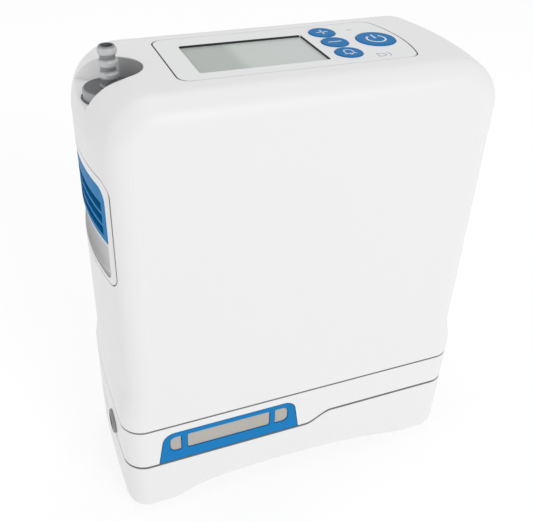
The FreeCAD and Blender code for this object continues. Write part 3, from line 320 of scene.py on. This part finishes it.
MATERIALS = {
    # case_white carries painted shade on the nozzle pocket's wall
    "case_white": moulded("case_white", WHITE, 0.40, 0.30, 0.004, 0.006, pocket_painted_shade),
    "label_white": moulded("label_white", (0.79, 0.795, 0.80), 0.34, 0.20, 0.003, 0.008),
    "lens": display("lens", Coat_Weight=0.25, Coat_Roughness=0.08, Specular_IOR_Level=0.2),
    "gasket_black": rubber("gasket_black", (0.022, 0.022, 0.024)),
    "lcd_grey": display("lcd_grey"),
    "board_green": board("board_green", (0.012, 0.11, 0.045), (0.72, 0.52, 0.25)),
    "button_blue": moulded("button_blue", (0.006, 0.165, 0.43), 0.40, 0.25, 0.003, 0.04, **SOFT_SHEEN),
    "latch_blue": moulded("latch_blue", (0.005, 0.19, 0.49), 0.42, 0.30, 0.005, 0.03, **SOFT_SHEEN),
    "cover_blue": moulded("cover_blue", (0.004, 0.185, 0.46), 0.46, 0.30, 0.006, 0.03, **SOFT_SHEEN),
    "inlay_grey": moulded("inlay_grey", (0.43, 0.41, 0.375), 0.60, 0.45, 0.012, 0.04),
    # scoop_grey carries painted shade towards the scoop's far edge and foot
    "scoop_grey": moulded("scoop_grey", (0.68, 0.68, 0.69), 0.50, 0.35, 0.008, 0.02, scoop_painted_shade),
    "led_clear": moulded("led_clear", (0.70, 0.73, 0.72), 0.20, 0.40, 0.002),
    "nozzle_metal": turned_metal("nozzle_metal"),
    "seal_rubber": rubber("seal_rubber", (0.02, 0.02, 0.022)),
    "filter_felt": felt("filter_felt", (0.78, 0.77, 0.74)),
    "foam_grey": foam("foam_grey", (0.09, 0.095, 0.10)),
    "duct_grey": moulded("duct_grey", (0.14, 0.145, 0.15), 0.55, 0.40, 0.010),
    "grille_grey": moulded("grille_grey", (0.30, 0.31, 0.32), 0.50, 0.35, 0.008),
    "inlet_dark": moulded("inlet_dark", (0.26, 0.26, 0.265), 0.42, 0.35, 0.006, 0.06),
    "contact_gold": metal("contact_gold", (0.86, 0.62, 0.27), 0.24, (1.0, 0.2, 0.2), 0.10, 0.002),
    "screw_steel": metal("screw_steel", STEEL, 0.32, (1.0, 1.0, 0.2), 0.12, 0.004),
    "spring_steel": metal("spring_steel", STEEL, 0.25, (1.0, 1.0, 1.0), 0.20, 0.002),
    "cell_wrap": moulded("cell_wrap", (0.03, 0.20, 0.16), 0.25, 0.80, 0.010, 0.10, Coat_Weight=0.5),
    "holder_black": moulded("holder_black", (0.025, 0.025, 0.027), 0.48, 0.35, 0.008, 0.08),
    "nickel": metal("nickel", (0.66, 0.63, 0.58), 0.26, (0.3, 1.0, 1.0), 0.15, 0.003),
    "column_alu": metal("column_alu", (0.72, 0.73, 0.74), 0.36, (1.0, 1.0, 0.05), 0.10, 0.005),
    "media_beige": beads("media_beige", (0.68, 0.60, 0.47)),
    "pump_alu": metal("pump_alu", (0.58, 0.59, 0.60), 0.48, (1.0, 1.0, 1.0), 0.45, 0.030),
    "motor_black": moulded("motor_black", (0.035, 0.035, 0.038), 0.38, 0.50, 0.010, 0.10, Metallic=0.5),
    "valve_body": moulded("valve_body", (0.60, 0.58, 0.52), 0.45, 0.35, 0.008),
    "tube_clear": moulded("tube_clear", (0.62, 0.66, 0.68), 0.28, 0.80, 0.006, 0.05, Alpha=0.6),
    "sensor_blue": moulded("sensor_blue", (0.05, 0.13, 0.30), 0.40, 0.35, 0.006),
    "fan_black": moulded("fan_black", (0.022, 0.022, 0.024), 0.45, 0.35, 0.006, 0.08),
    "mark_white": moulded("mark_white", (0.62, 0.68, 0.76), 0.40, 0.25, 0.002),
    "mark_blue": moulded("mark_blue", (0.16, 0.24, 0.40), 0.45, 0.25, 0.002),
}


def dress_frame():
    """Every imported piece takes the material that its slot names."""
    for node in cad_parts.values():
        for slot in node.material_slots:
            slot.material = MATERIALS[slot.material.name.split(".")[0]]


dress_frame()


# ---------------------------------------------------------------- new pieces
def new_piece(name, mesh_builder, material, body):
    """A mesh object made by a bmesh builder, riding on a body of the frame."""
    bm = bmesh.new()
    mesh_builder(bm)
    mesh = bpy.data.meshes.new(name)
    bmesh.ops.recalc_face_normals(bm, faces=bm.faces)
    bm.to_mesh(mesh)
    bm.free()
    piece = bpy.data.objects.new(name, mesh)
    bpy.context.scene.collection.objects.link(piece)
    mesh.materials.append(MATERIALS[material])
    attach(piece, body)
    return piece


def add_plate(bm, outline, z, thick):
    """A closed outline in metres, extruded up from z."""
    low = [bm.verts.new((x, y, z)) for x, y in outline]
    high = [bm.verts.new((x, y, z + thick)) for x, y in outline]
    bm.faces.new(low[::-1])
    bm.faces.new(high)
    for i in range(len(low)):
        j = (i + 1) % len(low)
        bm.faces.new((low[i], low[j], high[j], high[i]))


def add_band(bm, path, width, z, thick, closed=False):
    """A flat stroke of one width along a path of (x, y) points, extruded up from z."""
    count = len(path)
    sides = []
    for i, (x, y) in enumerate(path):
        before = path[i - 1] if i or closed else path[i]
        after = path[(i + 1) % count] if i < count - 1 or closed else path[i]
        along = Vector((after[0] - before[0], after[1] - before[1])).normalized()
        across = Vector((-along.y, along.x)) * width / 2
        sides.append(((x + across.x, y + across.y), (x - across.x, y - across.y)))
    for i in range(count if closed else count - 1):
        a, b = sides[i], sides[(i + 1) % count]
        add_plate(bm, [a[0], a[1], b[1], b[0]], z, thick)
    bmesh.ops.remove_doubles(bm, verts=bm.verts, dist=1e-7)


def add_ring(bm, *loops):
    """Closed ring through equal loops of (x, y, z) points, the last joined to the first."""
    rows = [[bm.verts.new(point) for point in loop] for loop in loops]
    for row, following in zip(rows, rows[1:] + rows[:1]):
        for i in range(len(row)):
            j = (i + 1) % len(row)
            bm.faces.new((row[i], row[j], following[j], following[i]))


def arc(x, y, r, first, last, steps=12):
    """Points of a circular arc, in millimetres and degrees."""
    turns = [radians(first + (last - first) * i / steps) for i in range(steps + 1)]
    return [(x + r * cos(a), y + r * sin(a)) for a in turns]


# ---------------------------------------------------------------- dark strips in the seams and grooves: painted shade
SEAM_SHADE_INSETS = (0.1, 0.95)           # the two sides of a seam's shade strip, in from the plinth's surface
SEAM_SHADE_RISE = 0.15                    # top of the lower seam's shade strip above its seam's middle
GROOVE_INSETS, GROOVE_DEPTHS = (0.02, 0.48), (0.4, 1.2)     # the painted-shade strip round the trim panel
LABEL_SHADE_DEPTHS = (0.59, 0.18)          # underside and top of the label groove's shade strip below the case's top


def bowed(y, inset):
    """Distance of the plinth's end from the middle at y."""
    return END_X - inset - y * y / (2 * PLINTH_R)


def plinth_loop(inset):
    """Level outline of the plinth, drawn in by inset."""
    def corner(sx, sy, r, first):
        centre_x = sx * (bowed(HALF_Y - r, 0.0) - r)
        return arc(centre_x, sy * (HALF_Y - r), r - inset, first, first + 90)

    def end(sx, first, last):
        steps = [first + (last - first) * i / 6 for i in range(1, 6)]
        return [(sx * bowed(y, inset), y) for y in steps]

    def side(sy, first, last):
        return [(first + (last - first) * i / 12, sy * (HALF_Y - inset)) for i in range(13)]

    front, back = HALF_Y - FRONT_R, HALF_Y - BACK_R
    return (side(-1, *STEP_X) + corner(1, -1, FRONT_R, -90)
            + end(1, -front, back) + corner(1, 1, BACK_R, 0)
            + side(1, *STEP_X[::-1]) + corner(-1, 1, BACK_R, 90)
            + end(-1, back, -front) + corner(-1, -1, FRONT_R, 180))


def lower_seam(x):
    """Height of the lower seam's middle at x: level, an S-shaped step, level."""
    share = min(max((x - STEP_X[0]) / (STEP_X[1] - STEP_X[0]), 0.0), 1.0)
    return LOW_SEAM + (STEP_SEAM - LOW_SEAM) * share * share * (3 - 2 * share)


def in_metres(points):
    return [tuple(value * MM for value in point) for point in points]


def add_seam_shade():
    """Dark strips just inside the two seams, painted shade: on the case, and on the battery's rim."""
    outer, inner = [plinth_loop(inset) for inset in SEAM_SHADE_INSETS]

    def upper(bm):
        low, high = SEAM_OPEN
        loops = [(outer, low), (outer, high), (inner, high), (inner, low)]
        add_ring(bm, *[in_metres([(x, y, z) for x, y in loop]) for loop, z in loops])

    def lower(bm):
        loops = [(outer, -SEAM_DROP), (outer, SEAM_SHADE_RISE), (inner, SEAM_SHADE_RISE), (inner, -SEAM_DROP)]
        levels = [[(x, y, lower_seam(x) + rise) for x, y in loop] for loop, rise in loops]
        add_ring(bm, *[in_metres(level) for level in levels])

    new_piece("upper_seam_shade", upper, "duct_grey", "case")
    new_piece("lower_seam_shade", lower, "duct_grey", "battery")


def panel_loop(inset, depth):
    """Outline of the trim panel's recess, laid on the bowed left end at a depth below it."""
    r, half = PANEL_R - inset, PANEL_HALF - PANEL_R
    low, high = PANEL_Z[0] + PANEL_R, PANEL_Z[1] - PANEL_R
    outline = (arc(half, high, r, 0, 90) + arc(-half, high, r, 90, 180)
               + arc(-half, low, r, 180, 270) + arc(half, low, r, 270, 360))
    radius = END_R - depth
    points = []
    for i, (y, z) in enumerate(outline):
        next_y, next_z = outline[(i + 1) % len(outline)]
        for step in range(8):
            share = step / 8
            there = y + (next_y - y) * share
            x = END_R - END_X - (radius ** 2 - there ** 2) ** 0.5
            points.append((x, there, z + (next_z - z) * share))
    return in_metres(points)


def add_panel_groove_shade():
    """Grey strip at the foot of the groove round the trim panel, painted shade."""
    outer, inner = GROOVE_INSETS
    high, low = GROOVE_DEPTHS

    def build(bm):
        sections = ((outer, high), (inner, high), (inner, low), (outer, low))
        add_ring(bm, *[panel_loop(inset, depth) for inset, depth in sections])

    new_piece("panel_groove_shade", build, "duct_grey", "case")


def label_loop(side_grow, end_grow):
    """Outline of the control label, grown at its sides and at its ends."""
    x0, x1, tip = LABEL_ENDS[0] - end_grow, LABEL_ENDS[1] + end_grow * 0.8, LABEL_TIP + end_grow
    y0, y1 = LABEL_SIDES[0] - side_grow, LABEL_SIDES[1] + side_grow
    middle, half, sag = (y0 + y1) / 2, (y1 - y0) / 2, tip - x1
    bow = (half * half + sag * sag) / (2 * sag)
    reach = ((bow - LABEL_R) ** 2 - (half - LABEL_R) ** 2) ** 0.5
    turn = degrees(atan2(half - LABEL_R, reach))
    corner_x = tip - bow + reach
    low, high, left = y0 + LABEL_R, y1 - LABEL_R, x0 + LABEL_R
    return (arc(left, low, LABEL_R, 180, 270) + arc(corner_x, low, LABEL_R, -90, -turn)
            + arc(tip - bow, middle, bow, -turn, turn, 24)[1:-1]
            + arc(corner_x, high, LABEL_R, turn, 90) + arc(left, high, LABEL_R, 90, 180))


def add_label_groove_shade():
    """Dark strip in the groove round the label, painted shade, wider at the two ends."""
    outer, inner = label_loop(-0.02, -0.02), label_loop(-0.23, -0.53)
    low, high = [TOP - depth for depth in LABEL_SHADE_DEPTHS]

    def build(bm):
        loops = [(outer, low), (outer, high), (inner, high), (inner, low)]
        add_ring(bm, *[in_metres([(x, y, z) for x, y in loop]) for loop, z in loops])

    new_piece("label_groove_shade", build, "gasket_black", "case")


# ---------------------------------------------------------------- display edge and marks
MARK = 0.04 * MM          # thickness of a printed mark
SUNK = 0.01 * MM          # depth of a mark's underside in the surface it lies on


def line(*points):
    """Path in metres from points in millimetres."""
    return [(x * MM, y * MM) for x, y in points]


def curve(*arguments):
    """Arc as a path in metres."""
    return in_metres(arc(*arguments))


def add_window_liner():
    """Thin black lining on the four walls of the display's recess."""
    low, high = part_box("display_window")
    grow, thick = 0.045 * MM, 0.05 * MM
    x0, y0 = low[0] - grow, low[1] - grow
    x1, y1 = high[0] + grow, high[1] + grow
    walls = [(x0, y0, x1, y0 + thick), (x0, y1 - thick, x1, y1),
             (x0, y0, x0 + thick, y1), (x1 - thick, y0, x1, y1)]

    def build(bm):
        for a, b, c, d in walls:
            add_plate(bm, [(a, b), (c, b), (c, d), (a, d)], high[2], LENS_DROP * MM - SUNK)

    new_piece("window_liner", build, "gasket_black", "case")


def key_mark(name, strokes, width):
    """Light mark printed on a key: strokes are (path, closed) about the key's centre."""
    def build(bm):
        for path, closed in strokes:
            add_band(bm, path, width * MM, (TOP + KEY_PROUD) * MM - SUNK, MARK, closed)

    new_piece(name + "_mark", build, "mark_white", name)


def add_key_marks():
    x, y = KEYS["plus_key"]
    level = line((x - 2.3, y), (x + 2.3, y))
    upright = line((x, y - 2.3), (x, y + 2.3))
    key_mark("plus_key", [(level, False), (upright, False)], 0.6)
    x, y = KEYS["minus_key"]
    key_mark("minus_key", [(line((x - 2.6, y), (x + 2.6, y)), False)], 0.6)
    x, y = KEYS["alert_key"]
    bell = curve(x, y + 0.6, 1.6, 180, 0, 16)
    left = line((x - 2.4, y - 1.6), (x - 1.6, y - 0.8))
    right = line((x + 1.6, y - 0.8), (x + 2.4, y - 1.6))
    clapper = curve(x, y - 1.9, 0.6, 200, 340, 8)
    key_mark("alert_key", [(left + bell + right, True), (clapper, False)], 0.45)
    x, y = KEYS["power_key"]
    ring = curve(x, y - 0.3, 3.5, 125, 415, 40)
    stroke = line((x, y + 0.2), (x, y + 4.2))
    key_mark("power_key", [(ring, False), (stroke, False)], 0.75)


def add_label_marks():
    """Small alarm sign in front of the power key."""
    x, y = 30.7, -14.5
    stroke = 0.3 * MM
    horn = line((x - 2.2, y - 1.4), (x - 2.2, y + 1.4), (x - 0.6, y + 1.4),
                (x + 0.8, y + 0.4), (x + 0.8, y - 0.6), (x - 0.6, y - 1.4))

    def build(bm):
        add_band(bm, horn, stroke, TOP * MM - SUNK, MARK, True)
        add_band(bm, curve(x + 0.6, y - 0.1, 2.0, -50, 50, 10), stroke, TOP * MM - SUNK, MARK)

    new_piece("alarm_mark", build, "mark_blue", "case")


# ---------------------------------------------------------------- springs behind the latch
COIL_TURNS = 4
COIL_STEPS = 24           # sections to a turn
WIRE_SIDES = 10
WIRE_R = 0.28 * MM


def add_coil(bm, low, high):
    """Compression spring along Y that fills a box: a round wire swept along a helix."""
    middle = (low + high) / 2
    radius = (high.z - low.z) / 2 - WIRE_R
    start, reach = low.y + WIRE_R, high.y - low.y - 2 * WIRE_R
    steps = COIL_TURNS * COIL_STEPS
    rings = []
    for i in range(steps + 1):
        turn = 2 * pi * i / COIL_STEPS
        out = Vector((cos(turn), 0.0, sin(turn)))
        along = Vector((-sin(turn) * radius, reach / (2 * pi * COIL_TURNS), cos(turn) * radius))
        across = out.cross(along.normalized())
        centre = Vector((middle.x, start + reach * i / steps, middle.z)) + out * radius
        angles = [2 * pi * k / WIRE_SIDES for k in range(WIRE_SIDES)]
        rings.append([bm.verts.new(centre + (out * cos(a) + across * sin(a)) * WIRE_R) for a in angles])
    for ring, following in zip(rings, rings[1:]):
        for k in range(WIRE_SIDES):
            j = (k + 1) % WIRE_SIDES
            bm.faces.new((ring[k], ring[j], following[j], following[k]))
    bm.faces.new(rings[0][::-1])
    bm.faces.new(rings[-1])


def add_latch_springs():
    """The latch's two springs, which bear against the bracket: still coils that fill the box of the
    frame's spring piece.
    """
    low, high = [Vector(corner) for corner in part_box("latch_springs")]
    width = high.z - low.z

    def build(bm):
        add_coil(bm, low, Vector((low.x + width, high.y, high.z)))
        add_coil(bm, Vector((high.x - width, low.y, low.z)), high)

    springs = new_piece("latch_coils", build, "spring_steel", "case")
    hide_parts("latch_springs")
    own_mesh(springs)


add_latch_springs()
add_seam_shade()
add_panel_groove_shade()
add_label_groove_shade()
add_window_liner()
add_key_marks()
add_label_marks()


# ---------------------------------------------------------------- studio
def add_floor():
    """Pale paper, lit a little from within so that it stays near white."""
    bm = bmesh.new()
    bmesh.ops.create_grid(bm, x_segments=2, y_segments=2, size=6.0)
    mesh = bpy.data.meshes.new("floor")
    bm.to_mesh(mesh)
    bm.free()
    floor = bpy.data.objects.new("floor", mesh)
    bpy.context.scene.collection.objects.link(floor)
    t = Tree("floor_paper")
    t.set(Base_Color=t.blend(t.noise(3.0), (0.48, 0.48, 0.48), (0.50, 0.50, 0.50)), Roughness=0.9)
    t.set(Emission_Color=(1.0, 1.0, 1.0, 1.0), Emission_Strength=0.55, Specular_IOR_Level=0.1)
    mesh.materials.append(t.material)


def add_light(name, place, target, size, power):
    """Round softbox at a place, aimed at a target; metres and watts."""
    data = bpy.data.lights.new(name, "AREA")
    data.shape = "DISK"
    data.size = size
    data.energy = power
    light = bpy.data.objects.new(name, data)
    bpy.context.scene.collection.objects.link(light)
    aim = Vector(target) - Vector(place)
    light.matrix_world = Matrix.Translation(place) @ aim.to_track_quat("-Z", "Y").to_matrix().to_4x4()


def add_studio():
    """White surroundings and three softboxes."""
    world = bpy.data.worlds.new("studio")
    world.use_nodes = True
    background = world.node_tree.nodes["Background"]
    background.inputs["Color"].default_value = (1.0, 1.0, 1.0, 1.0)
    background.inputs["Strength"].default_value = 0.70
    bpy.context.scene.world = world
    add_light("front_softbox", (0.45, -1.5, 0.70), (0.0, 0.0, 0.1), 1.0, 7.0)
    add_light("left_softbox", (-1.6, 0.1, 0.9), (0.0, 0.0, 0.1), 0.9, 1.0)
    add_light("overhead_softbox", (0.0, 0.3, 1.7), (0.0, 0.0, 0.1), 1.4, 5.0)
    bpy.context.scene.view_settings.view_transform = "Standard"
    bpy.context.scene.view_settings.look = "None"


add_floor()
add_studio()
